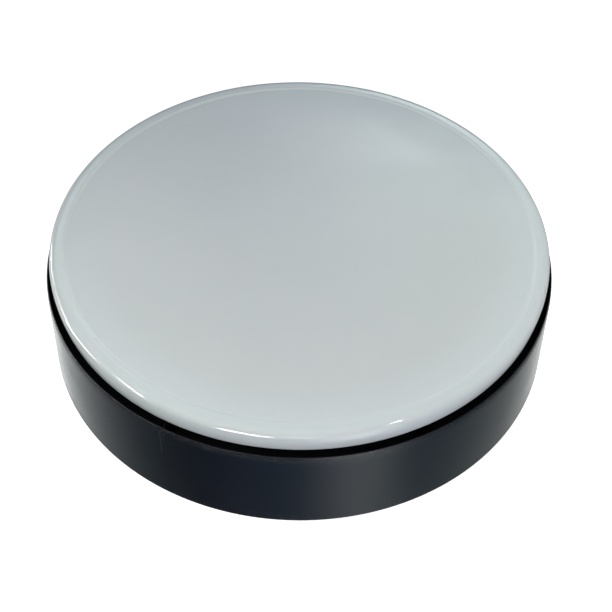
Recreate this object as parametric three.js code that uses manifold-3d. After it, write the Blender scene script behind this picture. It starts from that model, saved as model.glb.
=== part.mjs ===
// Lazy susan turntable: a round glazed tray that spins on a hidden caged ball bearing, set on a
// black lacquered drum. Units are millimetres, +Z is up, and the origin is the centre of the footprint
// on the surface that the rubber feet stand on.
import * as THREE from "three";
import { mergeVertices } from "three/addons/utils/BufferGeometryUtils.js";
import Module from "manifold-3d";

const wasm = await Module();
wasm.setup();

// ---------------------------------------------------------------- driving dimensions
// Drum: a rolled steel band round a fibreboard core ring that carries the deck above it and the
// base plate below it. The band stands clear of the deck, so the gap under the tray is deep.
const DRUM_R = 150; // outside radius of the band
const BAND_T = 1.2;
const DRUM_BOTTOM = 2; // the band stops short of the table, the feet carry it
const DRUM_TOP = 59.5;
const DRUM_ARRIS = 0.3; // eased outer edge
const CORE_R = [127, 148.5];
const CORE_Z = [8.5, 36.2];

// Deck and base plate: round boards inside the band, screwed to the core ring.
const BOARD_R = 148.2;
const DECK_Z = [36.3, 45.3];
const BASE_Z = [4.4, 8.4];
const BOARD_SCREW_R = 137.5; // pitch radius of the six screws in each board
const BOARD_SCREWS = 6;

// Bearing: two pressed steel races, a cage and its balls.
const BALL_R = 4;
const BALLS = 12;
const PITCH_R = 90; // the circle that the balls run on
const MID_Z = 51.05; // ball centres
const RACE_T = 1.5; // sheet thickness
const RACE_IN_R = 62;
const RACE_OUT_R = 100.5; // upper race, held under the lower race's curled lip
const RUNNING_GAP = 0.15; // between a ball and each raceway
const CAGE_T = 0.9;
const CAGE_R = [82, 98];
const CAGE_POCKET_R = 4.55;
const RACE_SCREW_R = 70; // pitch radius of the four screws in each race
const RACE_SCREWS = 4;
const ACCESS_HOLE_R = 5.5; // the upper screws are driven through this hole, one after the other

// Carrier: the steel disc on the upper race that the tray is bonded to.
const CARRIER_R = [22, 118];
const CARRIER_Z = [56.8, 59.3];
const PADS = 6;
const PAD_R = 11;
const PAD_PITCH_R = 97;
const PAD_Z = [59.4, 60.9];

// Tray: a thick glazed disc with a shallow recess inside a flat raised rim.
const TRAY_R = 147; // widest point, half way up the rounded edge
const TRAY_BOTTOM = 61;
const TRAY_RIM_Z = 74.9;
const TRAY_FLOOR_Z = 73.4;
const RIM_IN_R = 137.9; // inside edge of the raised rim
const FLAT_R = 104; // the floor is flat out to here, then rises in a gentle dish

// Feet and fasteners.
const FEET = 4;
const FOOT_PITCH_R = 110;
const FOOT_R = 12;
const FOOT_H = 4.3;

// ---------------------------------------------------------------- materials
const finish = (color, roughness, metalness = 0) =>
  new THREE.MeshStandardMaterial({ color, roughness, metalness });
const glaze = finish(0xdfe6e7, 0.12);
const lacquer = finish(0x14161a, 0.38);
const board = finish(0x6e4f33, 0.8);
const hardboard = finish(0x2b241f, 0.75);
const zincSteel = finish(0xb9bcbe, 0.35, 1);
const ballSteel = finish(0xd8dadc, 0.12, 1);
const silicone = finish(0xd9dcdc, 0.6);
const rubber = finish(0x17181a, 0.85);
const nylon = finish(0xe7e3d6, 0.5);

// ---------------------------------------------------------------- geometry helpers
// A turned solid from [radius, height] points. A profile either starts and ends on the axis or is a
// closed loop; it is put in the order that makes its faces point out.
function turned(profile, segments) {
  const onAxis = profile[0][0] === 0;
  let area = 0;
  profile.forEach(([r, z], i) => {
    const [r2, z2] = profile[(i + 1) % profile.length];
    area += r * z2 - r2 * z;
  });
  let points = area < 0 ? [...profile].reverse() : [...profile];
  if (!onAxis) points.push(points[0]);
  const g = new THREE.LatheGeometry(
    points.map(([r, z]) => new THREE.Vector2(r, z)),
    segments,
  );
  return g.rotateX(Math.PI / 2);
}

// An upright prism with regular sides, its corners at radius r.
function prism(r, z0, z1, sides) {
  const g = new THREE.CylinderGeometry(r, r, z1 - z0, sides);
  return g.rotateX(Math.PI / 2).translate(0, 0, (z0 + z1) / 2);
}

const at = (g, r, angle) =>
  g.translate(r * Math.cos(angle), r * Math.sin(angle), 0);
const spread = (count, phase = 0) =>
  Array.from({ length: count }, (_, i) => phase + (i * 2 * Math.PI) / count);

function solid(geometry) {
  const g = (geometry.index ? geometry.toNonIndexed() : geometry).clone();
  for (const name of Object.keys(g.attributes))
    if (name !== "position") g.deleteAttribute(name);
  const merged = mergeVertices(g, 1e-3);
  return new wasm.Manifold(
    new wasm.Mesh({
      numProp: 3,
      vertProperties: merged.attributes.position.array,
      triVerts: new Uint32Array(merged.index.array),
    }),
  );
}

function geometryOf(manifold) {
  const m = manifold.getMesh();
  const n = m.numProp;
  const v = new Float32Array(m.numVert * 3);
  for (let i = 0; i < m.numVert; i++)
    v.set(m.vertProperties.subarray(i * n, i * n + 3), i * 3);
  const g = new THREE.BufferGeometry()
    .setAttribute("position", new THREE.BufferAttribute(v, 3))
    .setIndex(new THREE.BufferAttribute(new Uint32Array(m.triVerts), 1));
  g.computeVertexNormals();
  return g;
}

// geometry with every cutter taken out of it
function drilled(geometry, cutters) {
  let s = solid(geometry);
  for (const c of cutters) s = s.subtract(solid(c));
  return geometryOf(s);
}

const object = new THREE.Group();
function add(name, geometry, material, parent = object) {
  const m = new THREE.Mesh(geometry, material);
  m.name = name;
  parent.add(m);
  return m;
}

// ---------------------------------------------------------------- the standing part
const base = new THREE.Group();
object.add(base);

const deckScrewAngles = spread(BOARD_SCREWS);
const baseScrewAngles = spread(BOARD_SCREWS, Math.PI / 6);
const footAngles = spread(FEET, Math.PI / 4);
const lowerScrewAngles = spread(RACE_SCREWS);
const upperScrewAngles = spread(RACE_SCREWS, Math.PI / 4);
const accessAngle = Math.PI / 4;

add(
  "drum_band",
  turned(
    [
      [DRUM_R, DRUM_BOTTOM + DRUM_ARRIS],
      [DRUM_R, DRUM_TOP - DRUM_ARRIS],
      [DRUM_R - DRUM_ARRIS, DRUM_TOP],
      [DRUM_R - BAND_T, DRUM_TOP],
      [DRUM_R - BAND_T, DRUM_BOTTOM],
      [DRUM_R - DRUM_ARRIS, DRUM_BOTTOM],
    ],
    72,
  ),
  lacquer,
  base,
);

add(
  "core_ring",
  drilled(
    turned(
      [
        [CORE_R[0], CORE_Z[0]],
        [CORE_R[1], CORE_Z[0]],
        [CORE_R[1], CORE_Z[1]],
        [CORE_R[0], CORE_Z[1]],
      ],
      72,
    ),
    [
      ...deckScrewAngles.map((a) =>
        at(prism(1.9, 22, CORE_Z[1] + 1, 8), BOARD_SCREW_R, a),
      ),
      ...baseScrewAngles.map((a) =>
        at(prism(1.9, CORE_Z[0] - 1, 20.5, 8), BOARD_SCREW_R, a),
      ),
    ],
  ),
  board,
  base,
);

add(
  "deck",
  drilled(
    turned(
      [
        [0, DECK_Z[0]],
        [BOARD_R, DECK_Z[0]],
        [BOARD_R, DECK_Z[1]],
        [0, DECK_Z[1]],
      ],
      72,
    ),
    [
      ...deckScrewAngles.map((a) =>
        at(prism(2.3, DECK_Z[0] - 1, DECK_Z[1] + 1, 8), BOARD_SCREW_R, a),
      ),
      ...lowerScrewAngles.map((a) =>
        at(prism(1.9, 37.8, DECK_Z[1] + 1, 8), RACE_SCREW_R, a),
      ),
      at(
        prism(ACCESS_HOLE_R + 1, DECK_Z[0] - 1, DECK_Z[1] + 1, 20),
        RACE_SCREW_R,
        accessAngle,
      ),
    ],
  ),
  board,
  base,
);

add(
  "base_plate",
  drilled(
    turned(
      [
        [0, BASE_Z[0]],
        [BOARD_R, BASE_Z[0]],
        [BOARD_R, BASE_Z[1]],
        [0, BASE_Z[1]],
      ],
      72,
    ),
    [
      ...baseScrewAngles.map((a) =>
        at(
          turned(
            [
              [0, BASE_Z[0] - 1],
              [4.9, BASE_Z[0] - 1],
              [4.1, BASE_Z[0]],
              [2.2, BASE_Z[0] + 2.1],
              [2.2, BASE_Z[1] + 1],
              [0, BASE_Z[1] + 1],
            ],
            8,
          ),
          BOARD_SCREW_R,
          a,
        ),
      ),
      ...footAngles.map((a) =>
        at(prism(1.9, BASE_Z[0] - 1, BASE_Z[1] + 1, 8), FOOT_PITCH_R, a),
      ),
    ],
  ),
  hardboard,
  base,
);

// Round-headed wood screw, head down to the seat at z, shank below it. With flip it points up.
function panScrew(z, headR, headH, shankR, length, flip = false) {
  const s = flip ? -1 : 1;
  return turned(
    [
      [0, z - s * length],
      [shankR, z - s * (length - 2.2)],
      [shankR, z],
      [headR, z],
      [headR * 0.82, z + s * headH],
      [0, z + s * headH],
    ],
    8,
  );
}

deckScrewAngles.forEach((a, i) =>
  add(
    `deck_screw_${i + 1}`,
    at(panScrew(DECK_Z[1] + 0.05, 3.6, 2.1, 1.65, 22.5), BOARD_SCREW_R, a),
    zincSteel,
    base,
  ),
);

// Countersunk screws come up through the base plate into the core ring.
baseScrewAngles.forEach((a, i) =>
  add(
    `base_screw_${i + 1}`,
    at(
      turned(
        [
          [0, BASE_Z[0] + 0.2],
          [3.7, BASE_Z[0] + 0.2],
          [1.65, BASE_Z[0] + 2.5],
          [1.65, 17.6],
          [0, 20],
        ],
        8,
      ),
      BOARD_SCREW_R,
      a,
    ),
    zincSteel,
    base,
  ),
);

footAngles.forEach((a, i) => {
  add(
    `foot_${i + 1}`,
    at(
      turned(
        [
          [FOOT_R, 1],
          [FOOT_R - 1.5, FOOT_H],
          [2.1, FOOT_H],
          [2.1, 2.4],
          [5.2, 2.4],
          [5.2, 0],
          [FOOT_R - 1, 0],
        ],
        16,
      ),
      FOOT_PITCH_R,
      a,
    ),
    rubber,
    base,
  );
  add(
    `foot_screw_${i + 1}`,
    at(panScrew(2.35, 4, 1.7, 1.65, 8.4, true), FOOT_PITCH_R, a),
    zincSteel,
    base,
  );
});

// ---------------------------------------------------------------- the bearing
// Half of a pressed race: s = 1 is the upper one, s = -1 the lower one. Heights are measured from
// the plane of the ball centres.
const track = BALL_R + RUNNING_GAP; // height of the raceway over that plane
const flange = 0.75; // height of the inner face of the flat flanges
const raceOuterSide = (s) => [
  [RACE_IN_R, s * (track + RACE_T)],
  [78.2, s * (track + RACE_T)],
  [80.8, s * (flange + RACE_T)],
  [84.0, s * (flange + RACE_T)],
  [87.3, s * (track + RACE_T)],
  [92.7, s * (track + RACE_T)],
  [96.0, s * (flange + RACE_T)],
];
const raceInnerSide = (s) => [
  [95.4, s * flange],
  [92.1, s * track],
  [87.9, s * track],
  [84.6, s * flange],
  [80.2, s * flange],
  [77.4, s * track],
  [RACE_IN_R, s * track],
];
const fromMid = (points) => points.map(([r, z]) => [r, MID_Z + z]);

add(
  "lower_race",
  drilled(
    turned(
      fromMid([
        ...raceOuterSide(-1),
        [103.5, -flange - RACE_T],
        [103.5, 4.15], // the outer wall is curled over the upper race
        [98.8, 4.15],
        [98.8, 2.75],
        [102, 2.75],
        [102, -flange],
        ...raceInnerSide(-1),
      ]),
      48,
    ),
    [
      ...lowerScrewAngles.map((a) =>
        at(prism(2.1, 40, 50, 8), RACE_SCREW_R, a),
      ),
      at(prism(ACCESS_HOLE_R, 40, 50, 16), RACE_SCREW_R, accessAngle),
    ],
  ),
  zincSteel,
  base,
);
lowerScrewAngles.forEach((a, i) =>
  add(
    `lower_race_screw_${i + 1}`,
    at(
      panScrew(MID_Z - track + 0.05, 3.6, 2.1, 1.65, 8.4),
      RACE_SCREW_R,
      a,
    ),
    zincSteel,
    base,
  ),
);

// The cage and its balls go round at half the tray's speed.
const cageGroup = new THREE.Group();
object.add(cageGroup);
add(
  "ball_cage",
  drilled(
    turned(
      fromMid([
        [CAGE_R[0], -CAGE_T / 2],
        [CAGE_R[1], -CAGE_T / 2],
        [CAGE_R[1], CAGE_T / 2],
        [CAGE_R[0], CAGE_T / 2],
      ]),
      48,
    ),
    spread(BALLS).map((a) =>
      at(prism(CAGE_POCKET_R, MID_Z - 3, MID_Z + 3, 12), PITCH_R, a),
    ),
  ),
  nylon,
  cageGroup,
);
spread(BALLS).forEach((a, i) => {
  const ball = add(
    `ball_${String(i + 1).padStart(2, "0")}`,
    new THREE.IcosahedronGeometry(BALL_R, 1),
    ballSteel,
    cageGroup,
  );
  ball.position.set(PITCH_R * Math.cos(a), PITCH_R * Math.sin(a), MID_Z);
});

// ---------------------------------------------------------------- the turning part
const turning = new THREE.Group();
object.add(turning);

add(
  "upper_race",
  drilled(
    turned(
      fromMid([
        ...raceOuterSide(1),
        [RACE_OUT_R, flange + RACE_T],
        [RACE_OUT_R, flange],
        ...raceInnerSide(1),
      ]),
      48,
    ),
    upperScrewAngles.map((a) => at(prism(2.1, 52, 60, 8), RACE_SCREW_R, a)),
  ),
  zincSteel,
  turning,
);

add(
  "carrier_disc",
  drilled(
    turned(
      [
        [CARRIER_R[0], CARRIER_Z[0]],
        [CARRIER_R[1], CARRIER_Z[0]],
        [CARRIER_R[1], CARRIER_Z[1]],
        [CARRIER_R[0], CARRIER_Z[1]],
      ],
      60,
    ),
    upperScrewAngles.map((a) =>
      at(prism(1.9, CARRIER_Z[0] - 1, CARRIER_Z[1] + 1, 8), RACE_SCREW_R, a),
    ),
  ),
  zincSteel,
  turning,
);

upperScrewAngles.forEach((a, i) =>
  add(
    `upper_race_screw_${i + 1}`,
    at(
      panScrew(MID_Z + track - 0.05, 3.6, 2.1, 1.65, 4.1, true),
      RACE_SCREW_R,
      a,
    ),
    zincSteel,
    turning,
  ),
);

spread(PADS, Math.PI / 6).forEach((a, i) =>
  add(
    `tray_pad_${i + 1}`,
    at(prism(PAD_R, PAD_Z[0], PAD_Z[1], 16), PAD_PITCH_R, a),
    silicone,
    turning,
  ),
);

add(
  "tray",
  turned(
    [
      [0, TRAY_BOTTOM],
      [144, TRAY_BOTTOM],
      [145.6, TRAY_BOTTOM + 0.7],
      [146.5, TRAY_BOTTOM + 2.9],
      [TRAY_R, TRAY_BOTTOM + 6.6],
      [TRAY_R, TRAY_BOTTOM + 9],
      [146.5, TRAY_BOTTOM + 11.6],
      [145.3, TRAY_BOTTOM + 13.2],
      [142.8, TRAY_RIM_Z],
      [RIM_IN_R + 0.4, TRAY_RIM_Z],
      [RIM_IN_R, TRAY_RIM_Z - 0.62],
      [134, TRAY_FLOOR_Z + 0.66],
      [128, TRAY_FLOOR_Z + 0.4],
      [116, TRAY_FLOOR_Z + 0.09],
      [FLAT_R, TRAY_FLOOR_Z],
      [0, TRAY_FLOOR_Z],
    ],
    72,
  ),
  glaze,
  turning,
);

export default object;
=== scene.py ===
import math

import bmesh
import bpy
from mathutils import Matrix, Quaternion, Vector, noise


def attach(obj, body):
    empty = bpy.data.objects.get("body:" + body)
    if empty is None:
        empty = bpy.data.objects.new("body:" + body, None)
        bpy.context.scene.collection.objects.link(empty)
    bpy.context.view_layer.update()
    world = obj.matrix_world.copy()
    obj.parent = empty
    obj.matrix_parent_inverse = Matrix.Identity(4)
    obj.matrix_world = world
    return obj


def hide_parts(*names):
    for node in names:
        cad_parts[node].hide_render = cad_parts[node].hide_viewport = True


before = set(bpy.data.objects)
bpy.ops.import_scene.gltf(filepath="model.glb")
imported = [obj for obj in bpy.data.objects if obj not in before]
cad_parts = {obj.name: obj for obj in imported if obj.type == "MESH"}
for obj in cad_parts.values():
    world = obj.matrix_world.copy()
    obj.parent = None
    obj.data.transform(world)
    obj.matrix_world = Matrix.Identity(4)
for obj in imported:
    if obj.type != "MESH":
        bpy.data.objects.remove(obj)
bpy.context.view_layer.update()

MM = 0.001
TAU = 2 * math.pi


# ------------------------------------------------------------------ mesh helpers
def rounded(points, closed, steps=6):
    """[radius, height] or [radius, height, fillet] points as a finer outline with arcs at the fillets
    and a holding point on each side of them, so that smooth shading leaves the flats flat."""
    out = []
    n = len(points)
    for i, p in enumerate(points):
        fillet = p[2] if len(p) > 2 else 0
        if not fillet or (not closed and i in (0, n - 1)):
            out.append((p[0], p[1]))
            continue
        a, b, c = (Vector(points[j % n][:2]) for j in (i - 1, i, i + 1))
        u, v = (a - b), (c - b)
        lu, lv = u.length, v.length
        u.normalize()
        v.normalize()
        angle = u.angle(v)
        t = min(fillet / math.tan(angle / 2), 0.46 * lu, 0.46 * lv)
        radius = t * math.tan(angle / 2)
        centre = b + (u + v).normalized() * (radius / math.sin(angle / 2))
        start, end = b + u * t, b + v * t
        hold = min(0.35, 0.25 * lu, 0.25 * lv)
        s, e = start - centre, end - centre
        turn = s.angle_signed(e)
        out.append(tuple(start + u * hold * 0.5))
        for k in range(steps + 1):
            w = turn * k / steps
            # angle_signed is clockwise-positive in 2D
            cw, sw = math.cos(-w), math.sin(-w)
            out.append((centre.x + s.x * cw - s.y * sw, centre.y + s.x * sw + s.y * cw))
        out.append(tuple(end + v * hold * 0.5))
    return out


def flow(points, parts=5):
    """A smooth outline through every point (a Catmull-Rom curve), without a flat between them."""
    pts = [Vector(p) for p in points]
    ends = [2 * pts[0] - pts[1], *pts, 2 * pts[-1] - pts[-2]]
    out = [tuple(pts[0])]
    for p0, p1, p2, p3 in zip(ends, ends[1:], ends[2:], ends[3:]):
        t0 = 0.0
        t1 = t0 + (p1 - p0).length ** 0.5
        t2 = t1 + (p2 - p1).length ** 0.5
        t3 = t2 + (p3 - p2).length ** 0.5
        for k in range(1, parts + 1):
            t = t1 + (t2 - t1) * k / parts
            a1 = p0 * ((t1 - t) / (t1 - t0)) + p1 * ((t - t0) / (t1 - t0))
            a2 = p1 * ((t2 - t) / (t2 - t1)) + p2 * ((t - t1) / (t2 - t1))
            a3 = p2 * ((t3 - t) / (t3 - t2)) + p3 * ((t - t2) / (t3 - t2))
            b1 = a1 * ((t2 - t) / (t2 - t0)) + a2 * ((t - t0) / (t2 - t0))
            b2 = a2 * ((t3 - t) / (t3 - t1)) + a3 * ((t - t1) / (t3 - t1))
            out.append(tuple(b1 * ((t2 - t) / (t2 - t1)) + b2 * ((t - t1) / (t2 - t1))))
    return out


def to_mesh(bm, name, smooth=40):
    bmesh.ops.remove_doubles(bm, verts=bm.verts, dist=1e-8)
    bmesh.ops.recalc_face_normals(bm, faces=bm.faces)
    me = bpy.data.meshes.new(name)
    bm.to_mesh(me)
    bm.free()
    for f in me.polygons:
        f.use_smooth = True
    me.set_sharp_from_angle(angle=math.radians(smooth))
    return me


def piece(name, me, body, slot, *nodes):
    o = bpy.data.objects.new(name, me)
    bpy.context.scene.collection.objects.link(o)
    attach(o, body)
    if nodes:
        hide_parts(*nodes)
    return o


def revolve_bm(points, closed, seg, centre=(0.0, 0.0), wobble=None):
    """A turned solid from an outline in millimetres. wobble(angle, r, z) may move a ring point."""
    bm = bmesh.new()
    rings = []
    for r, z in points:
        if r < 1e-6:
            rings.append([bm.verts.new((centre[0] * MM, centre[1] * MM, z * MM))])
            continue
        ring = []
        for k in range(seg):
            a = TAU * k / seg
            rr, zz = wobble(a, r, z) if wobble else (r, z)
            ring.append(
                bm.verts.new(
                    (
                        (centre[0] + rr * math.cos(a)) * MM,
                        (centre[1] + rr * math.sin(a)) * MM,
                        zz * MM,
                    )
                )
            )
        rings.append(ring)
    pairs = list(zip(rings, rings[1:])) + ([(rings[-1], rings[0])] if closed else [])
    for a, b in pairs:
        if len(a) == 1 and len(b) == 1:
            continue
        for k in range(seg):
            j = (k + 1) % seg
            if len(a) == 1:
                bm.faces.new((a[0], b[k], b[j]))
            elif len(b) == 1:
                bm.faces.new((a[k], b[0], a[j]))
            else:
                bm.faces.new((a[k], b[k], b[j], a[j]))
    return bm


def revolve(name, points, closed=False, seg=192, steps=6, smooth=40, **kw):
    return to_mesh(
        revolve_bm(rounded(points, closed, steps), closed, seg, **kw), name, smooth
    )


def cut(me, cutter_bms, name, smooth=35):
    """me without every cutter, by Blender's exact boolean."""
    whole = bmesh.new()
    for bm in cutter_bms:
        bmesh.ops.recalc_face_normals(bm, faces=bm.faces)
        tmp = bpy.data.meshes.new("tmp")
        bm.to_mesh(tmp)
        bm.free()
        whole.from_mesh(tmp)
        bpy.data.meshes.remove(tmp)
    cm = bpy.data.meshes.new("cutters")
    whole.to_mesh(cm)
    whole.free()
    a = bpy.data.objects.new("cut_a", me)
    b = bpy.data.objects.new("cut_b", cm)
    for o in (a, b):
        bpy.context.scene.collection.objects.link(o)
    m = a.modifiers.new("cut", "BOOLEAN")
    m.operation, m.solver, m.object = "DIFFERENCE", "EXACT", b
    dg = bpy.context.evaluated_depsgraph_get()
    result = bpy.data.meshes.new_from_object(a.evaluated_get(dg))
    result.name = name
    for o in (a, b):
        bpy.data.objects.remove(o)
    bpy.data.meshes.remove(me)
    bpy.data.meshes.remove(cm)
    for f in result.polygons:
        f.use_smooth = True
    result.set_sharp_from_angle(angle=math.radians(smooth))
    return result


def rod(x, y, r, z0, z1, seg=32):
    return revolve_bm([(0, z0), (r, z0), (r, z1), (0, z1)], False, seg, centre=(x, y))


def polar(r, a):
    return (r * math.cos(a), r * math.sin(a))


def spread(count, phase=0.0):
    return [phase + TAU * i / count for i in range(count)]


# ------------------------------------------------------------------ material helpers
class Nodes:
    """Short names for building a node material."""

    def __init__(self, name):
        self.mat = bpy.data.materials.new(name)
        self.mat.use_nodes = True
        self.t = self.mat.node_tree
        self.t.nodes.clear()
        self.out = self.t.nodes.new("ShaderNodeOutputMaterial")
        self.bsdf = self.t.nodes.new("ShaderNodeBsdfPrincipled")
        self.t.links.new(self.bsdf.outputs["BSDF"], self.out.inputs["Surface"])
        self.coord = self.t.nodes.new("ShaderNodeTexCoord").outputs["Object"]

    def link(self, a, b):
        self.t.links.new(a, b)

    def node(self, kind, **inputs):
        n = self.t.nodes.new(kind)
        for k, v in inputs.items():
            self.feed(n.inputs[k.replace("_", " ")], v)
        return n

    def feed(self, socket, v):
        if isinstance(v, bpy.types.NodeSocket):
            self.link(v, socket)
        else:
            socket.default_value = v

    def noise(self, scale, detail=3.0, rough=0.5, distortion=0.0, at=None):
        n = self.t.nodes.new("ShaderNodeTexNoise")
        self.link(at if at is not None else self.coord, n.inputs["Vector"])
        n.inputs["Scale"].default_value = scale
        n.inputs["Detail"].default_value = detail
        n.inputs["Roughness"].default_value = rough
        n.inputs["Distortion"].default_value = distortion
        return n.outputs["Fac"]

    def voronoi(self, scale, feature="F1", at=None, randomness=1.0):
        n = self.t.nodes.new("ShaderNodeTexVoronoi")
        n.feature = feature
        self.link(at if at is not None else self.coord, n.inputs["Vector"])
        n.inputs["Scale"].default_value = scale
        n.inputs["Randomness"].default_value = randomness
        return n.outputs["Distance"]

    def scaled(self, x, y, z):
        n = self.t.nodes.new("ShaderNodeMapping")
        self.link(self.coord, n.inputs["Vector"])
        n.inputs["Scale"].default_value = (x, y, z)
        return n.outputs["Vector"]

    def maths(self, op, a, b=None, clamp=False):
        n = self.t.nodes.new("ShaderNodeMath")
        n.operation = op
        n.use_clamp = clamp
        self.feed(n.inputs[0], a)
        if b is not None:
            self.feed(n.inputs[1], b)
        return n.outputs[0]

    def span(self, v, lo, hi, to_lo=0.0, to_hi=1.0, smooth=False):
        n = self.t.nodes.new("ShaderNodeMapRange")
        n.interpolation_type = "SMOOTHSTEP" if smooth else "LINEAR"
        self.link(v, n.inputs["Value"])
        for k, x in (("From Min", lo), ("From Max", hi), ("To Min", to_lo), ("To Max", to_hi)):
            self.feed(n.inputs[k], x)
        return n.outputs["Result"]

    def mix(self, f, a, b, blend="MIX"):
        n = self.t.nodes.new("ShaderNodeMix")
        n.data_type = "RGBA"
        n.blend_type = blend
        self.feed(n.inputs[0], f)
        self.feed(n.inputs[6], a)
        self.feed(n.inputs[7], b)
        return n.outputs[2]

    def parts(self):
        n = self.t.nodes.new("ShaderNodeSeparateXYZ")
        self.link(self.coord, n.inputs[0])
        return n.outputs

    def radius(self):
        x, y, z = self.parts()
        return self.maths(
            "SQRT", self.maths("ADD", self.maths("MULTIPLY", x, x), self.maths("MULTIPLY", y, y))
        )

    def angle(self):
        x, y, z = self.parts()
        return self.maths("ARCTAN2", y, x)

    def bump(self, height, strength, distance, under=None):
        n = self.t.nodes.new("ShaderNodeBump")
        n.inputs["Strength"].default_value = strength
        n.inputs["Distance"].default_value = distance
        self.link(height, n.inputs["Height"])
        if under is not None:
            self.link(under, n.inputs["Normal"])
        return n.outputs["Normal"]

    def set(self, **kw):
        for k, v in kw.items():
            self.feed(self.bsdf.inputs[k.replace("_", " ")], v)
        return self.mat


def rgb(r, g, b):
    return (r, g, b, 1.0)


# ------------------------------------------------------------------ materials
def glaze_material():
    """White glaze: faint tonal clouds, a few pinholes, a soft waviness and fine wipe marks."""
    m = Nodes("white_glaze")
    r = m.radius()
    clouds = m.noise(14, 3, 0.55)
    fine = m.noise(95, 4, 0.6)
    col = m.mix(
        m.span(clouds, 0.35, 0.65), rgb(0.735, 0.768, 0.778), rgb(0.755, 0.783, 0.795)
    )
    col = m.mix(m.span(fine, 0.3, 0.75, 0.0, 0.35), col, rgb(0.715, 0.752, 0.770))
    # painted light: the rise and the rim are painted lighter and bluer than the dish floor, standing in for the
    # brighter light that falls on them
    painted_rim_light_reach = m.maths("ADD", r, m.span(clouds, 0.3, 0.7, -0.004, 0.004))
    col = m.mix(m.span(painted_rim_light_reach, 0.112, 0.134, 0.0, 0.45, smooth=True), col, rgb(0.765, 0.830, 0.855))
    col = m.mix(m.span(r, 0.1374, 0.1384, 0.0, 0.75, smooth=True), col, rgb(0.780, 0.842, 0.860))
    # painted highlight: the step between rim and dish is painted paler, standing in for the thin bright line of light
    # along it
    painted_step_highlight = m.maths(
        "MULTIPLY", m.span(r, 0.1366, 0.1378, smooth=True), m.span(r, 0.1394, 0.1384, smooth=True)
    )
    col = m.mix(painted_step_highlight, col, rgb(0.875, 0.915, 0.925))
    # pinholes
    dots = m.voronoi(210)
    sparse = m.noise(60, 1, 0.5)
    pin = m.maths(
        "MULTIPLY", m.span(dots, 0.05, 0.02), m.span(sparse, 0.66, 0.70), clamp=True
    )
    col = m.mix(m.maths("MULTIPLY", pin, 0.35), col, rgb(0.36, 0.37, 0.37))
    wipe = m.noise(1, 3, 0.6, at=m.scaled(8, 70, 8))
    rough = m.maths(
        "ADD", m.span(wipe, 0.3, 0.8, 0.045, 0.085), m.span(fine, 0.4, 0.7, 0.0, 0.02)
    )
    # resting marks where things stood on the floor of the tray
    rings = m.noise(160, 2, 0.5, 0.4)
    worn = m.maths(
        "MULTIPLY", m.span(rings, 0.62, 0.72), m.span(r, 0.125, 0.10), clamp=True
    )
    rough = m.maths("ADD", rough, m.maths("MULTIPLY", worn, 0.05))
    wave = m.noise(34, 2, 0.4)
    peel = m.noise(420, 2, 0.5)
    normal = m.bump(wave, 0.22, 0.0012)
    normal = m.bump(peel, 0.06, 0.0004, under=normal)
    normal = m.bump(pin, 0.12, 0.0003, under=normal)
    return m.set(
        Base_Color=col,
        Roughness=rough,
        IOR=1.5,
        Normal=normal,
        Coat_Weight=0.0,
    )


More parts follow.
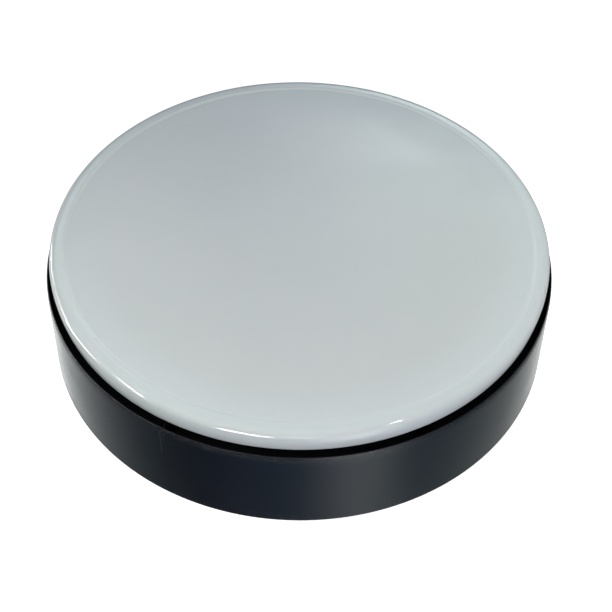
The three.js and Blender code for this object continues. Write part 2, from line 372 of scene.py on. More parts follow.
def lacquer_material():
    """Satin black lacquer on steel: orange peel, a few hairlines, rubbed edges, dust low down."""
    m = Nodes("black_lacquer")
    x, y, z = m.parts()
    r = m.radius()
    a = m.angle()
    clouds = m.noise(11, 3, 0.6)
    col = m.mix(
        m.span(clouds, 0.3, 0.7), rgb(0.0058, 0.0078, 0.0115), rgb(0.0085, 0.0105, 0.0145)
    )
    # rubbed arrises at the top and the bottom of the band
    rub = m.noise(240, 5, 0.65)
    top = m.span(z, 0.0589, 0.0594, smooth=True)
    low = m.span(z, 0.0031, 0.0024, smooth=True)
    edge = m.maths("MULTIPLY", m.maths("MAXIMUM", top, low), m.span(rub, 0.42, 0.68), clamp=True)
    col = m.mix(m.maths("MULTIPLY", edge, 0.16), col, rgb(0.085, 0.090, 0.098))
    # fine upright hairlines, more of them in a few patches
    tall = m.noise(1, 2, 0.4, at=m.scaled(1700, 1700, 26))
    patch = m.noise(22, 2, 0.5)
    hair = m.maths(
        "MULTIPLY", m.span(tall, 0.745, 0.77), m.span(patch, 0.60, 0.70), clamp=True
    )
    col = m.mix(m.maths("MULTIPLY", hair, 0.08), col, rgb(0.06, 0.064, 0.070))
    # two longer scratches low on the left of the front
    def scratch(at, width, z0, z1):
        wobble = m.maths("MULTIPLY", m.maths("SUBTRACT", m.noise(90, 2, 0.5), 0.5), 0.004)
        off = m.maths("ABSOLUTE", m.maths("SUBTRACT", m.maths("ADD", a, wobble), at))
        line = m.span(off, width, width * 0.25)
        span = m.maths(
            "MULTIPLY", m.span(z, z0, z0 + 0.003), m.span(z, z1, z1 - 0.002), clamp=True
        )
        return m.maths("MULTIPLY", line, span, clamp=True)

    marks = m.maths(
        "MAXIMUM",
        scratch(math.radians(-119.2), 0.0022, 0.034, 0.0575),
        scratch(math.radians(-118.5), 0.0014, 0.046, 0.0560),
    )
    col = m.mix(m.maths("MULTIPLY", marks, 0.5), col, rgb(0.070, 0.074, 0.080))
    dust = m.maths(
        "MULTIPLY", m.span(z, 0.012, 0.002, smooth=True), m.span(m.noise(130, 5, 0.7), 0.35, 0.75)
    )
    col = m.mix(m.maths("MULTIPLY", dust, 0.06), col, rgb(0.12, 0.12, 0.12))
    # painted reflection: the band is painted a little paler towards the table, standing in for the brighter reflection
    # low on the wall
    painted_low_reflection = m.maths("MULTIPLY", m.span(z, 0.050, 0.004, smooth=True), m.span(clouds, 0.25, 0.75, 0.7, 1.0))
    col = m.mix(m.maths("MULTIPLY", painted_low_reflection, 0.5), col, rgb(0.0165, 0.0180, 0.0195))
    rough = m.span(m.noise(38, 4, 0.6), 0.3, 0.7, 0.20, 0.26)
    rough = m.maths("ADD", rough, m.maths("MULTIPLY", dust, 0.10))
    rough = m.maths("ADD", rough, m.maths("MULTIPLY", m.maths("MAXIMUM", edge, m.maths("MULTIPLY", hair, 0.3)), 0.12))
    # the inside and the cut top edge only have a dry mist of it, so they are rougher; their colour is also painted
    # darker, as painted shade for the dark gap under the tray
    mist_and_painted_shade = m.span(r, 0.14955, 0.14940)
    rough = m.maths("ADD", rough, m.maths("MULTIPLY", mist_and_painted_shade, 0.42))
    col = m.mix(mist_and_painted_shade, col, rgb(0.0030, 0.0034, 0.0042))
    # the lacquer lies rougher in the top few millimetres, where the sprayed coat built up
    lip = m.maths(
        "MULTIPLY", m.span(z, 0.0535, 0.0588, smooth=True), m.span(m.noise(1300, 3, 0.6), 0.54, 0.64), clamp=True
    )
    peel = m.noise(1150, 2, 0.45)
    normal = m.bump(peel, 0.10, 0.0004)
    normal = m.bump(lip, 0.6, 0.0002, under=normal)
    normal = m.bump(m.maths("MAXIMUM", m.maths("MULTIPLY", hair, 0.25), marks), 0.10, -0.0002, under=normal)
    return m.set(
        Base_Color=col, Roughness=rough, IOR=1.45, Specular_IOR_Level=0.42, Normal=normal
    )


def board_material(name, dark, light, fibre, shine=0.5):
    """Fibreboard: fine fibres pressed flat, mottled, with a dry surface."""
    m = Nodes(name)
    flecks = m.noise(1, 5, 0.7, at=m.scaled(950, 330, 700))
    blotch = m.noise(26, 3, 0.6)
    col = m.mix(m.span(flecks, 0.3, 0.7), rgb(*dark), rgb(*light))
    col = m.mix(m.span(blotch, 0.4, 0.8, 0.0, 0.4), col, rgb(*dark))
    strands = m.noise(1, 3, 0.5, at=m.scaled(260, 1600, 900))
    col = m.mix(m.span(strands, 0.66, 0.74, 0.0, 0.55), col, rgb(*fibre))
    rough = m.span(flecks, 0.3, 0.7, 0.62, 0.80)
    return m.set(
        Base_Color=col,
        Roughness=rough,
        Specular_IOR_Level=shine,
        Normal=m.bump(flecks, 0.25, 0.0004),
    )


def steel_material(name, base, rough_lo, rough_hi, tint, grain=(60, 900, 60)):
    """Zinc-plated sheet or wire: faint passivation colour, rolling grain, small handling marks."""
    m = Nodes(name)
    film = m.noise(48, 3, 0.6)
    col = m.mix(m.span(film, 0.35, 0.7), rgb(*base), rgb(*tint))
    lines = m.noise(1, 3, 0.6, at=m.scaled(*grain))
    marks = m.noise(320, 3, 0.6, 1.5)
    rough = m.maths(
        "ADD",
        m.span(lines, 0.3, 0.7, rough_lo, rough_hi),
        m.span(marks, 0.60, 0.72, 0.0, 0.08),
    )
    return m.set(
        Base_Color=col,
        Metallic=1.0,
        Roughness=rough,
        Normal=m.bump(lines, 0.06, 0.0002),
    )


def ball_material():
    m = Nodes("ball_steel")
    tone = m.noise(420, 3, 0.6)
    oil = m.noise(260, 2, 0.5, 1.0)
    return m.set(
        Base_Color=m.mix(m.span(tone, 0.35, 0.7), rgb(0.74, 0.745, 0.76), rgb(0.66, 0.67, 0.69)),
        Metallic=1.0,
        Roughness=m.span(oil, 0.35, 0.7, 0.05, 0.14),
        Normal=m.bump(m.noise(1500, 2, 0.5), 0.02, 0.0001),
    )


def nylon_material():
    m = Nodes("cage_nylon")
    cloud = m.noise(70, 3, 0.6)
    return m.set(
        Base_Color=m.mix(m.span(cloud, 0.3, 0.7), rgb(0.72, 0.69, 0.60), rgb(0.78, 0.755, 0.67)),
        Roughness=m.span(m.noise(300, 3, 0.6), 0.3, 0.7, 0.38, 0.52),
        Normal=m.bump(m.noise(900, 3, 0.6), 0.10, 0.0002),
        Subsurface_Weight=0.08,
        Subsurface_Scale=0.002,
    )


def silicone_material():
    m = Nodes("silicone")
    cloud = m.noise(160, 3, 0.6)
    return m.set(
        Base_Color=m.mix(m.span(cloud, 0.3, 0.7), rgb(0.70, 0.72, 0.72), rgb(0.76, 0.775, 0.775)),
        Roughness=m.span(m.noise(500, 2, 0.5), 0.3, 0.7, 0.45, 0.60),
        Normal=m.bump(m.noise(700, 3, 0.6), 0.10, 0.0002),
    )


def rubber_material():
    m = Nodes("foot_rubber")
    grain = m.noise(1300, 3, 0.6)
    bloom = m.noise(85, 4, 0.65)
    scuff = m.span(m.noise(240, 4, 0.7), 0.55, 0.70)
    col = m.mix(m.span(bloom, 0.3, 0.75), rgb(0.016, 0.016, 0.017), rgb(0.028, 0.028, 0.029))
    return m.set(
        Base_Color=m.mix(m.maths("MULTIPLY", scuff, 0.35), col, rgb(0.075, 0.074, 0.072)),
        Roughness=m.span(bloom, 0.3, 0.7, 0.66, 0.82),
        Normal=m.bump(grain, 0.25, 0.0002),
    )


MATS = {
    "white_glaze": glaze_material(),
    "black_lacquer": lacquer_material(),
    # black-painted deck board; its near-black bluish tone is darkened further as painted shade for the gap it is seen
    # through
    "deck_board": board_material(
        "deck_board", (0.0022, 0.0028, 0.0046), (0.0042, 0.0048, 0.0068), (0.010, 0.0105, 0.0125), 0.12
    ),
    "hardboard": board_material(
        "hardboard", (0.050, 0.034, 0.023), (0.082, 0.057, 0.039), (0.150, 0.110, 0.078)
    ),
    "zinc_sheet": steel_material(
        "zinc_sheet", (0.58, 0.60, 0.62), 0.24, 0.36, (0.60, 0.60, 0.55)
    ),
    "black_screw": steel_material(
        "black_screw", (0.010, 0.0105, 0.012), 0.42, 0.58, (0.016, 0.015, 0.014), (300, 300, 2200)
    ),
    "zinc_screw": steel_material(
        "zinc_screw", (0.56, 0.57, 0.58), 0.26, 0.40, (0.60, 0.585, 0.52), (300, 300, 2200)
    ),
    "ball_steel": ball_material(),
    "cage_nylon": nylon_material(),
    "silicone": silicone_material(),
    "foot_rubber": rubber_material(),
}


def wear(o, slot):
    o.data.materials.clear()
    o.data.materials.append(MATS[slot])
    return o


# ------------------------------------------------------------------ the drum
BOARD_SCREW_R = 137.5
DECK_SCREWS = spread(6)
BASE_SCREWS = spread(6, math.pi / 6)
FEET = spread(4, math.pi / 4)
LOWER_SCREWS = spread(4)
UPPER_SCREWS = spread(4, math.pi / 4)
ACCESS = math.pi / 4
FOOT_R = 110
RACE_SCREW_R = 70


# pieces whose finish in the record is plain screw steel, but which are blackened here
FINISH = {"black_screw": "zinc_screw"}


def place(name, me, body, look, *nodes):
    return wear(piece(name, me, body, FINISH.get(look, look), *nodes), look)


place(
    "drum_band_skin",
    revolve(
        "drum_band_skin",
        [
            (150, 2.0, 0.55),
            (150, 30.0),
            # the top few millimetres of the band are rolled in very slightly
            *flow([(150, 50.0), (150, 53.2), (149.95, 55.6), (149.80, 57.6), (149.58, 59.0)]),
            (149.52, 59.42, 0.12),
            (148.85, 59.42, 0.2),
            (148.8, 30.0),
            (148.8, 2.0, 0.40),
        ],
        closed=True,
        seg=288,
    ),
    "drum",
    "black_lacquer",
    "drum_band",
)

place(
    "core_ring_board",
    cut(
        revolve(
            "core",
            [(127, 8.5, 0.6), (148.5, 8.5, 0.4), (148.5, 36.2, 0.4), (127, 36.2, 0.6)],
            closed=True,
            seg=144,
        ),
        [rod(*polar(BOARD_SCREW_R, a), 1.9, 22, 38) for a in DECK_SCREWS]
        + [rod(*polar(BOARD_SCREW_R, a), 1.9, 7, 20.5) for a in BASE_SCREWS],
        "core_ring_board",
    ),
    "drum",
    "deck_board",
    "core_ring",
)

place(
    "deck_board",
    cut(
        revolve(
            "deck",
            [(0, 36.3), (148.2, 36.3, 0.5), (148.2, 45.3, 0.5), (0, 45.3)],
            seg=144,
        ),
        [rod(*polar(BOARD_SCREW_R, a), 2.3, 35, 47) for a in DECK_SCREWS]
        + [rod(*polar(RACE_SCREW_R, a), 1.9, 37.8, 47) for a in LOWER_SCREWS]
        + [rod(*polar(RACE_SCREW_R, ACCESS), 6.5, 35, 47, 64)],
        "deck_board",
    ),
    "drum",
    "deck_board",
    "deck",
)

place(
    "base_plate_board",
    cut(
        revolve(
            "base",
            [(0, 4.4), (148.2, 4.4, 0.7), (148.2, 8.4, 0.3), (0, 8.4)],
            seg=144,
        ),
        [
            revolve_bm(
                [(0, 3.4), (4.9, 3.4), (4.1, 4.4), (2.2, 6.5), (2.2, 9.4), (0, 9.4)],
                False,
                48,
                centre=polar(BOARD_SCREW_R, a),
            )
            for a in BASE_SCREWS
        ]
        + [rod(*polar(FOOT_R, a), 1.9, 3.4, 9.4) for a in FEET],
        "base_plate_board",
    ),
    "drum",
    "hardboard",
    "base_plate",
)


# ------------------------------------------------------------------ screws
def cross_cutter(z_face, direction, size, depth):
    """The tapered cross of a driver, its mouth at z_face, going in along direction."""
    out = []
    for turn in (0, math.pi / 2):
        bm = bmesh.new()
        w = size * 0.17
        top, low = z_face - direction * 0.2, z_face + direction * depth
        pts = []
        for z, half in ((top, size), (low, size * 0.42)):
            for sx, sy in ((-1, -1), (1, -1), (1, 1), (-1, 1)):
                x, y = sx * half, sy * w
                pts.append(
                    bm.verts.new(
                        (
                            (x * math.cos(turn) - y * math.sin(turn)) * MM,
                            (x * math.sin(turn) + y * math.cos(turn)) * MM,
                            z * MM,
                        )
                    )
                )
        a, b = pts[:4], pts[4:]
        bm.faces.new(a)
        bm.faces.new(b[::-1])
        for k in range(4):
            bm.faces.new((a[k], b[k], b[(k + 1) % 4], a[(k + 1) % 4]))
        out.append(bm)
    return out


def screw_mesh(name, seat, up, head_profile, shank_r, core_r, length, pitch, face, recess):
    """A wood screw about the z axis with a real thread: head_profile gives the head's outline from
    its face to the shank, and the shank runs from the seat along up to its point."""
    seg = 24
    bm = bmesh.new()
    rings = []
    for r, z in rounded(head_profile, False, 4):
        if r < 1e-6:
            rings.append([bm.verts.new((0, 0, z * MM))])
        else:
            rings.append(
                [
                    bm.verts.new((r * math.cos(TAU * k / seg) * MM, r * math.sin(TAU * k / seg) * MM, z * MM))
                    for k in range(seg)
                ]
            )
    steps = max(12, int(length / pitch * 8))
    plain = 0.8
    for i in range(1, steps + 1):
        d = length * i / steps
        taper = min(1.0, (length - d) / 2.6)
        if i == steps:
            rings.append([bm.verts.new((0, 0, (seat + up * length) * MM))])
            break
        ring = []
        for k in range(seg):
            phase = ((d / pitch) - k / seg) % 1.0
            crest = max(0.0, 1 - abs(phase - 0.5) / 0.22)
            grow = min(1.0, max(0.0, (d - plain) / 1.0))
            r = (core_r + (shank_r - core_r) * crest * grow) * (0.25 + 0.75 * taper) if taper < 1 else core_r + (
                shank_r - core_r
            ) * crest * grow
            ring.append(
                bm.verts.new((r * math.cos(TAU * k / seg) * MM, r * math.sin(TAU * k / seg) * MM, (seat + up * d) * MM))
            )
        rings.append(ring)
    for a, b in zip(rings, rings[1:]):
        for k in range(seg):
            j = (k + 1) % seg
            if len(a) == 1:
                bm.faces.new((a[0], b[k], b[j]))
            elif len(b) == 1:
                bm.faces.new((a[k], b[0], a[j]))
            else:
                bm.faces.new((a[k], b[k], b[j], a[j]))
    me = to_mesh(bm, name, 30)
    return cut(me, cross_cutter(face, up, *recess), name, 30)


def copies(prefix, me, centre_r, angles, body, slot, node_format):
    for i, a in enumerate(angles):
        m2 = me.copy()
        m2.name = f"{prefix}_{i + 1}"
        spin = 0.7 + 1.9 * i
        m2.transform(
            Matrix.Translation((centre_r * math.cos(a) * MM, centre_r * math.sin(a) * MM, 0))
            @ Matrix.Rotation(spin, 4, "Z")
        )
        place(m2.name, m2, body, slot, node_format.format(i + 1))
    bpy.data.meshes.remove(me)


def pan_head(seat, up, head_r, head_h, core_r):
    """Outline of a round head from the middle of its face to the start of the shank."""
    top = seat - up * head_h
    return [
        (0, top),
        (head_r * 0.45, top),
        (head_r * 0.86, top + up * head_h * 0.14, 0.5),
        (head_r, seat - up * head_h * 0.35, 0.35),
        (head_r, seat, 0.12),
        (core_r, seat),
    ]


copies(
    "deck_screw_black",
    screw_mesh(
        "deck_screw_black", 45.35, -1, pan_head(45.35, -1, 3.6, 2.1, 1.25), 1.65, 1.2, 22.5, 1.6, 47.45, (1.9, 1.5)
    ),
    BOARD_SCREW_R,
    DECK_SCREWS,
    "drum",
    "black_screw",
    "deck_screw_{}",
)
copies(
    "lower_race_screw_zinc",
    screw_mesh(
        "lower_race_screw_zinc", 46.95, -1, pan_head(46.95, -1, 3.6, 2.1, 1.25), 1.65, 1.2, 8.4, 1.6, 49.05, (1.9, 1.5)
    ),
    RACE_SCREW_R,
    LOWER_SCREWS,
    "drum",
    "zinc_screw",
    "lower_race_screw_{}",
)
copies(
    "upper_race_screw_zinc",
    screw_mesh(
        "upper_race_screw_zinc", 55.15, 1, pan_head(55.15, 1, 3.6, 2.1, 1.45), 1.65, 1.4, 4.1, 0.8, 53.05, (1.9, 1.4)
    ),
    RACE_SCREW_R,
    UPPER_SCREWS,
    "turntable",
    "zinc_screw",
    "upper_race_screw_{}",
)
copies(
    "foot_screw_zinc",
    screw_mesh(
        "foot_screw_zinc", 2.35, 1, pan_head(2.35, 1, 4.0, 1.7, 1.25), 1.65, 1.2, 8.4, 1.6, 0.65, (2.1, 1.25)
    ),
    FOOT_R,
    FEET,
    "drum",
    "zinc_screw",
    "foot_screw_{}",
)
copies(
    "base_screw_zinc",
    screw_mesh(
        "base_screw_zinc",
        7.0,
        1,
        [(0, 4.6), (3.4, 4.6, 0.2), (3.7, 4.85, 0.15), (1.3, 6.9), (1.25, 7.0)],
        1.65,
        1.2,
        13.0,
        1.6,
        4.6,
        (2.0, 1.6),
    ),
    BOARD_SCREW_R,
    BASE_SCREWS,
    "drum",
    "zinc_screw",
    "base_screw_{}",
)

# ------------------------------------------------------------------ rubber feet
for i, a in enumerate(FEET):
    place(
        f"rubber_foot_{i + 1}",
        revolve(
            "foot",
            [
                (11.55, 0.0, 0.7),
                (11.8, 1.0, 0.6),
                (10.5, 4.3, 0.4),
                (2.1, 4.3),
                (2.1, 2.4),
                (5.2, 2.4, 0.2),
                (5.2, 0.0, 0.5),
                (6.4, 0.0),
                (6.7, 0.35, 0.1),
                (7.2, 0.35, 0.1),
                (7.5, 0.0),
                (8.5, 0.0),
                (8.8, 0.35, 0.1),
                (9.3, 0.35, 0.1),
                (9.6, 0.0),
            ],
            closed=True,
            seg=72,
            steps=4,
            centre=polar(FOOT_R, a),
        ),
        "drum",
        "foot_rubber",
        f"foot_{i + 1}",
    )

# ------------------------------------------------------------------ the bearing
MID = 51.05
TRACK = 4.15
SHEET = 1.5
FLANGE = 0.75


def race(s, tail):
    """Outline of a pressed race; s is 1 for the upper and -1 for the lower one, and tail is what lies
    between its outer and its inner face."""
    outer = [
        (62, s * (TRACK + SHEET), 0.3),
        (78.2, s * (TRACK + SHEET), 1.4),
        (80.8, s * (FLANGE + SHEET), 0.9),
        (84.0, s * (FLANGE + SHEET), 0.9),
        (87.3, s * (TRACK + SHEET), 1.6),
        (92.7, s * (TRACK + SHEET), 1.6),
        (96.0, s * (FLANGE + SHEET), 0.9),
    ]
    inner = [
        (95.4, s * FLANGE, 0.9),
        (92.1, s * TRACK, 1.0),
        (87.9, s * TRACK, 1.0),
        (84.6, s * FLANGE, 0.9),
        (80.2, s * FLANGE, 0.9),
        (77.4, s * TRACK, 0.9),
        (62, s * TRACK, 0.3),
    ]
    return [(p[0], MID + p[1], *p[2:]) for p in outer + tail + inner]


place(
    "lower_race_steel",
    cut(
        revolve(
            "lower",
            race(
                -1,
                [
                    (103.5, -FLANGE - SHEET, 1.4),
                    (103.5, 4.15, 1.2),
                    (98.8, 4.15, 0.5),
                    (98.8, 2.75, 0.5),
                    (102, 2.75, 0.4),
                    (102, -FLANGE, 0.4),
                ],
            ),
            closed=True,
            seg=144,
            steps=4,
        ),
        [rod(*polar(RACE_SCREW_R, a), 2.1, 40, 50) for a in LOWER_SCREWS]
        + [rod(*polar(RACE_SCREW_R, ACCESS), 5.5, 40, 50, 48)],
        "lower_race_steel",
    ),
    "drum",
    "zinc_sheet",
    "lower_race",
)
place(
    "upper_race_steel",
    cut(
        revolve(
            "upper",
            race(1, [(100.5, FLANGE + SHEET, 0.4), (100.5, FLANGE, 0.4)]),
            closed=True,
            seg=144,
            steps=4,
        ),
        [rod(*polar(RACE_SCREW_R, a), 2.1, 52, 60) for a in UPPER_SCREWS],
        "upper_race_steel",
    ),
    "turntable",
    "zinc_sheet",
    "upper_race",
)
place(
    "ball_cage_nylon",
    cut(
        revolve(
            "cage",
            [(82, MID - 0.45, 0.2), (98, MID - 0.45, 0.2), (98, MID + 0.45, 0.2), (82, MID + 0.45, 0.2)],
            closed=True,
            seg=144,
            steps=3,
        ),
        [rod(*polar(90, a), 4.5, MID - 3, MID + 3, 40) for a in spread(12)],
        "ball_cage_nylon",
    ),
    "cage",
    "cage_nylon",
    "ball_cage",
)
for i, a in enumerate(spread(12)):
    bm = bmesh.new()
    bmesh.ops.create_icosphere(bm, subdivisions=4, radius=4 * MM)
    x, y = polar(90, a)
    bmesh.ops.translate(bm, verts=bm.verts, vec=(x * MM, y * MM, MID * MM))
    place(
        f"bearing_ball_{i + 1:02d}",
        to_mesh(bm, f"bearing_ball_{i + 1:02d}", 80),
        "cage",
        "ball_steel",
        f"ball_{i + 1:02d}",
    )

place(
    "carrier_disc_steel",
    cut(
        revolve(
            "carrier",
            [(22, 56.8, 0.4), (118, 56.8, 0.6), (118, 59.3, 0.6), (22, 59.3, 0.4)],
            closed=True,
            seg=144,
        ),
        [rod(*polar(RACE_SCREW_R, a), 1.9, 55, 61) for a in UPPER_SCREWS],
        "carrier_disc_steel",
    ),
    "turntable",
    "zinc_sheet",
    "carrier_disc",
)
for i, a in enumerate(spread(6, math.pi / 6)):
    place(
        f"tray_pad_silicone_{i + 1}",
        revolve(
            "pad",
            [(0, 59.4), (10.9, 59.4, 0.45), (10.9, 60.9, 0.45), (0, 60.9)],
            seg=64,
            steps=4,
            centre=polar(97, a),
        ),
        "turntable",
        "silicone",
        f"tray_pad_{i + 1}",
    )


# ------------------------------------------------------------------ the tray
def tray_wobble(a, r, z):
    """A fired glaze is never quite true: the shoulder and the rim wander by a tenth of a millimetre."""
    if r < 100:
        return r, z
    w = (r - 100) / 47.0
    p = Vector((math.cos(a) * 2.3, math.sin(a) * 2.3, z * 0.05))
    q = Vector((math.cos(a) * 7.0, math.sin(a) * 7.0, 9.0 + z * 0.09))
    dr = -0.10 - 0.10 * noise.noise(p) - 0.05 * noise.noise(q)
    dz = -0.05 - 0.05 * noise.noise(q) if z > 73 else 0.0
    return r + dr * w, z + dz * w


place(
    "tray_glazed",
    revolve(
        "tray_glazed",
        [
            (0, 61.0),
            (118, 61.0),
            *flow(
                [
                    (143.6, 61.0),
                    (144.9, 61.15),
                    (145.9, 61.9),
                    (146.5, 63.9),
                    (146.95, 67.2),
                    (147.0, 70.0),
                    (146.6, 72.3),
                    (145.6, 73.9),
                    (144.2, 74.65),
                    (142.4, 74.88),
                    (140.2, 74.9),
                ]
            ),
            # the step down into the dish, softened by the glaze
            *flow(
                [
                    (139.5, 74.89),
                    (138.8, 74.80),
                    (138.1, 74.56),
                    (137.5, 74.34),
                    (136.8, 74.21),
                    (136.1, 74.165),
                ],
                parts=4,
            ),
            *[
                (r, 73.4 + 0.85 * ((r - 104) / 33.6) ** 2.2)
                for r in (135.2, 133, 130, 127, 123.5, 119.5, 115, 110)
            ],
            (104.0, 73.4),
            (60.0, 73.4),
            (0, 73.4),
        ],
        seg=360,
        steps=6,
        wobble=tray_wobble,
    ),
    "turntable",
    "white_glaze",
    "tray",
)


# ------------------------------------------------------------------ the light's settings
FLOOR_GLOW = 0.9
ROOM = (0.0, 0.0, 0.0)
PATCHES = [
    (0.0, -60, 10.0, (0.198, 0.246, 0.251)),
    (90.0, -60, 10.0, (2.166, 2.202, 2.169)),
    (180.0, -60, 10.0, (0.015, 0.052, 0.091)),
    (126.0, -30, 10.0, (0.513, 0.537, 0.553)),
    (162.0, -30, 10.0, (0.293, 0.314, 0.286)),
    (342.0, -30, 10.0, (0.0, 0.024, 0.048)),
    (0.0, -5, 14.0, (0.263, 0.282, 0.284)),
    (300.0, -5, 14.0, (1.281, 1.249, 1.275)),
    (118, 42, 80.0, (0.0, 0.0, 0.062)),
    (234, -46, 60.0, (0.0, 0.0, 0.044)),
    (246, -46, 60.0, (0.154, 0.156, 0.288)),
    (258, -46, 60.0, (0.013, 0.098, 0.115)),
    (270, -46, 60.0, (0.168, 0.248, 0.399)),
    (282, -46, 60.0, (0.0, 0.0, 0.088)),
    (282, -33, 60.0, (0.253, 0.161, 0.153)),
    (294, -46, 60.0, (0.861, 0.95, 1.048)),
    (294, -33, 60.0, (3.1, 3.053, 3.036)),
    (306, -46, 60.0, (0.803, 0.962, 0.974)),
    (330, -46, 60.0, (0.0, 0.0, 0.11)),
    (315.0, 10, 14.0, (0.0, 0.0, 0.061)),
    (83, 36, 200.0, (4.256, 4.514, 4.419)),
    (90, 36, 200.0, (0.0, 0.0, 0.206)),
    (104, 36, 200.0, (0.0, 0.0, 0.124)),
    (83, 42, 200.0, (0.029, 0.242, 0.0)),
    (90, 42, 200.0, (0.654, 0.708, 0.991)),
    (104, 42, 200.0, (1.804, 1.946, 2.18)),
    (135.0, 10, 14.0, (0.55, 0.55, 0.55)),
    (157.5, 10, 14.0, (0.55, 0.55, 0.55)),
]
BOXES = [
    ('wash_wide_270', 270, 45, 0.55, (0.3, 0.3), 1.155, (1.0, 0.982, 0.96)),
    ('wash_wide_315', 315, 45, 0.55, (0.3, 0.3), 0.061, (0.0, 0.501, 1.0)),
    ('wash_wide_top', 0, 89.9, 0.6, (0.3, 0.3), 0.043, (0.0, 0.0, 1.0)),
    ('wash_near_0', 0, 38, 0.36, (0.3, 0.3), 0.424, (1.0, 0.925, 0.777)),
    ('wash_near_30', 30, 38, 0.36, (0.3, 0.3), 0.101, (0.0, 0.538, 1.0)),
    ('wash_near_210', 210, 38, 0.36, (0.3, 0.3), 0.345, (0.948, 1.0, 0.895)),
]
# name, azimuth, step aside, height, width and height of the panel, radiance, lean
GLINTS = [
    ("glint_left_upper", 175, -0.14, 0.16, (0.34, 0.018), 110, 0.0),
    ("glint_left_middle", 175, 0.11, 0.09, (0.32, 0.018), 110, 43.0),
    ("glint_left_lower", 175, 0.37, 0.31, (0.44, 0.018), 110, -62.0),
    ("glint_front", 250, 0.03, 0.06, (0.19, 0.05), 55),
    ("glint_front_faint", 272, 0.0, 0.125, (0.07, 0.03), 30),
    ("glint_right", 315, -0.07, 0.50, (0.05, 0.05), 80),
]


# ------------------------------------------------------------------ floor, light and camera
scene = bpy.context.scene
scene.view_settings.view_transform = "Standard"
scene.view_settings.look = "None"
scene.view_settings.exposure = 0.0
scene.view_settings.gamma = 1.0

bpy.ops.mesh.primitive_plane_add(size=8.0, location=(0, 0, -0.0001))
floor = bpy.context.object
floor.name = "floor"
fm = Nodes("floor")
fm.t.nodes.remove(fm.bsdf)
diffuse = fm.t.nodes.new("ShaderNodeBsdfDiffuse")
glow = fm.t.nodes.new("ShaderNodeEmission")
both = fm.t.nodes.new("ShaderNodeAddShader")
diffuse.inputs["Color"].default_value = rgb(0.80, 0.80, 0.80)
glow.inputs["Color"].default_value = rgb(1, 1, 1)
glow.inputs["Strength"].default_value = FLOOR_GLOW
fm.link(diffuse.outputs[0], both.inputs[0])
fm.link(glow.outputs[0], both.inputs[1])
fm.link(both.outputs[0], fm.out.inputs["Surface"])
floor.data.materials.append(fm.mat)
# a pale backdrop far behind it, so that low views see a plain ground too
bpy.ops.mesh.primitive_uv_sphere_add(segments=48, ring_count=24, radius=6.0, location=(0, 0, 0))
backdrop = bpy.context.object
backdrop.name = "backdrop"
bm_ = Nodes("backdrop")
bm_.t.nodes.remove(bm_.bsdf)
pale = bm_.t.nodes.new("ShaderNodeEmission")
pale.inputs["Color"].default_value = rgb(1, 1, 1)
pale.inputs["Strength"].default_value = 1.0
bm_.link(pale.outputs[0], bm_.out.inputs["Surface"])
backdrop.data.materials.append(bm_.mat)
for ground in (floor, backdrop):
    ground.visible_glossy = False
    ground.visible_shadow = False
    ground.visible_diffuse = False
    ground.visible_transmission = False

# The room: an even soft grey with broad soft patches, each [azimuth, elevation, sharpness, colour].
world = bpy.data.worlds.new("room")
scene.world = world
world.use_nodes = True
wt = world.node_tree
wt.nodes.clear()
w_out = wt.nodes.new("ShaderNodeOutputWorld")
w_bg = wt.nodes.new("ShaderNodeBackground")
wt.links.new(w_bg.outputs[0], w_out.inputs["Surface"])
w_dir = wt.nodes.new("ShaderNodeTexCoord").outputs["Generated"]


def room_patch(azimuth, elevation, sharp, colour, under):
    a, e = math.radians(azimuth), math.radians(elevation)
    dot = wt.nodes.new("ShaderNodeVectorMath")
    dot.operation = "DOT_PRODUCT"
    wt.links.new(w_dir, dot.inputs[0])
    dot.inputs[1].default_value = (math.cos(a) * math.cos(e), math.sin(a) * math.cos(e), math.sin(e))
    less = wt.nodes.new("ShaderNodeMath")
    less.operation = "MULTIPLY_ADD"
    wt.links.new(dot.outputs["Value"], less.inputs[0])
    less.inputs[1].default_value = sharp
    less.inputs[2].default_value = -sharp
    bell = wt.nodes.new("ShaderNodeMath")
    bell.operation = "EXPONENT"
    wt.links.new(less.outputs[0], bell.inputs[0])
    mul = wt.nodes.new("ShaderNodeVectorMath")
    mul.operation = "MULTIPLY_ADD"
    wt.links.new(bell.outputs[0], mul.inputs[0])
    mul.inputs[1].default_value = colour
    if isinstance(under, tuple):
        mul.inputs[2].default_value = under
    else:
        wt.links.new(under, mul.inputs[2])
    return mul.outputs[0]


tone = ROOM
for patch in PATCHES:
    tone = room_patch(*patch, tone)
if isinstance(tone, tuple):
    w_bg.inputs["Color"].default_value = (*tone, 1.0)
else:
    wt.links.new(tone, w_bg.inputs["Color"])
w_bg.inputs["Strength"].default_value = 1.0


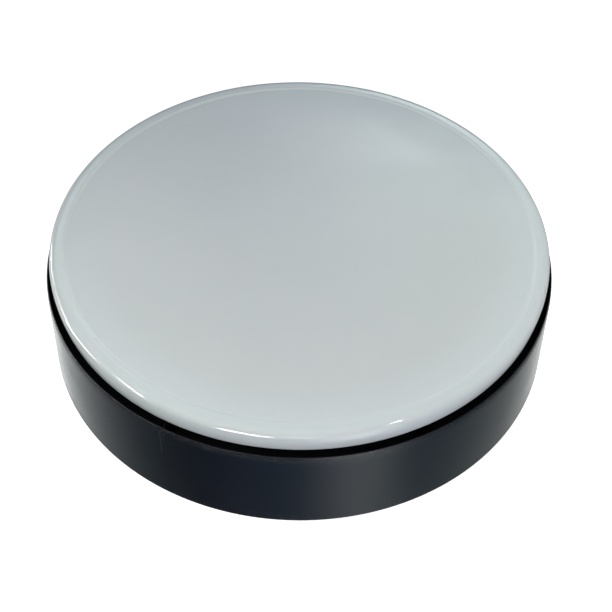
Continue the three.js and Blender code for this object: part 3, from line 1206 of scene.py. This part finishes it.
def softbox(name, azimuth, elevation, distance, size, power, colour=(1, 1, 1), aim=(0, 0, 0.06)):
    """A square area light that looks at the object. It only washes it: the room makes the gloss."""
    a, e = math.radians(azimuth), math.radians(elevation)
    data = bpy.data.lights.new(name, "AREA")
    data.shape = "RECTANGLE"
    data.size, data.size_y = size
    data.energy = power
    data.color = colour
    o = bpy.data.objects.new(name, data)
    scene.collection.objects.link(o)
    where = Vector(aim) + distance * Vector(
        (math.cos(a) * math.cos(e), math.sin(a) * math.cos(e), math.sin(e))
    )
    o.location = where
    o.visible_glossy = False
    o.visible_camera = False
    o.rotation_mode = "QUATERNION"
    o.rotation_quaternion = (Vector(aim) - where).to_track_quat("-Z", "Y")
    return o


for box in BOXES:
    softbox(*box)


def glint(name, azimuth, aside, height, size, radiance, lean=0.0, distance=0.6):
    """A small bright panel that only the gloss sees: it draws the glints along the rounded edge."""
    a = math.radians(azimuth)
    where = Vector(
        (
            distance * math.cos(a) - aside * math.sin(a),
            distance * math.sin(a) + aside * math.cos(a),
            height,
        )
    )
    data = bpy.data.lights.new(name, "AREA")
    data.shape = "RECTANGLE"
    data.size, data.size_y = size
    data.energy = math.pi * size[0] * size[1] * radiance
    o = bpy.data.objects.new(name, data)
    scene.collection.objects.link(o)
    o.location = where
    o.visible_diffuse = False
    o.visible_camera = False
    o.rotation_mode = "QUATERNION"
    o.rotation_quaternion = (
        (Vector((0, 0, 0.07)) - where).to_track_quat("-Z", "Y")
        @ Quaternion((0, 0, 1), math.radians(lean))
    )
    return o


for panel in GLINTS:
    glint(*panel)

cam_data = bpy.data.cameras.new("camera")
cam = bpy.data.objects.new("camera", cam_data)
scene.collection.objects.link(cam)
cam_data.sensor_width = 36.0
cam_data.lens = 1444 / 612 * 36.0
cam_data.clip_start, cam_data.clip_end = 0.05, 50
pitch, roll = math.radians(47.50), math.radians(0.99)
ahead = Vector((0, math.cos(pitch), -math.sin(pitch)))
up0, right0 = Vector((0, math.sin(pitch), math.cos(pitch))), Vector((1, 0, 0))
right = math.cos(roll) * right0 + math.sin(roll) * up0
up = -math.sin(roll) * right0 + math.cos(roll) * up0
depth = 0.8611
ox, oy = (299.7 - 306) / 1444 * depth, -(255.55 - 306) / 1444 * depth
where = Vector((0, 0, 0.0595)) - (ox * right + oy * up + depth * ahead)
cam.matrix_world = Matrix(
    (
        (right.x, up.x, -ahead.x, where.x),
        (right.y, up.y, -ahead.y, where.y),
        (right.z, up.z, -ahead.z, where.z),
        (0, 0, 0, 1),
    )
)
scene.camera = cam
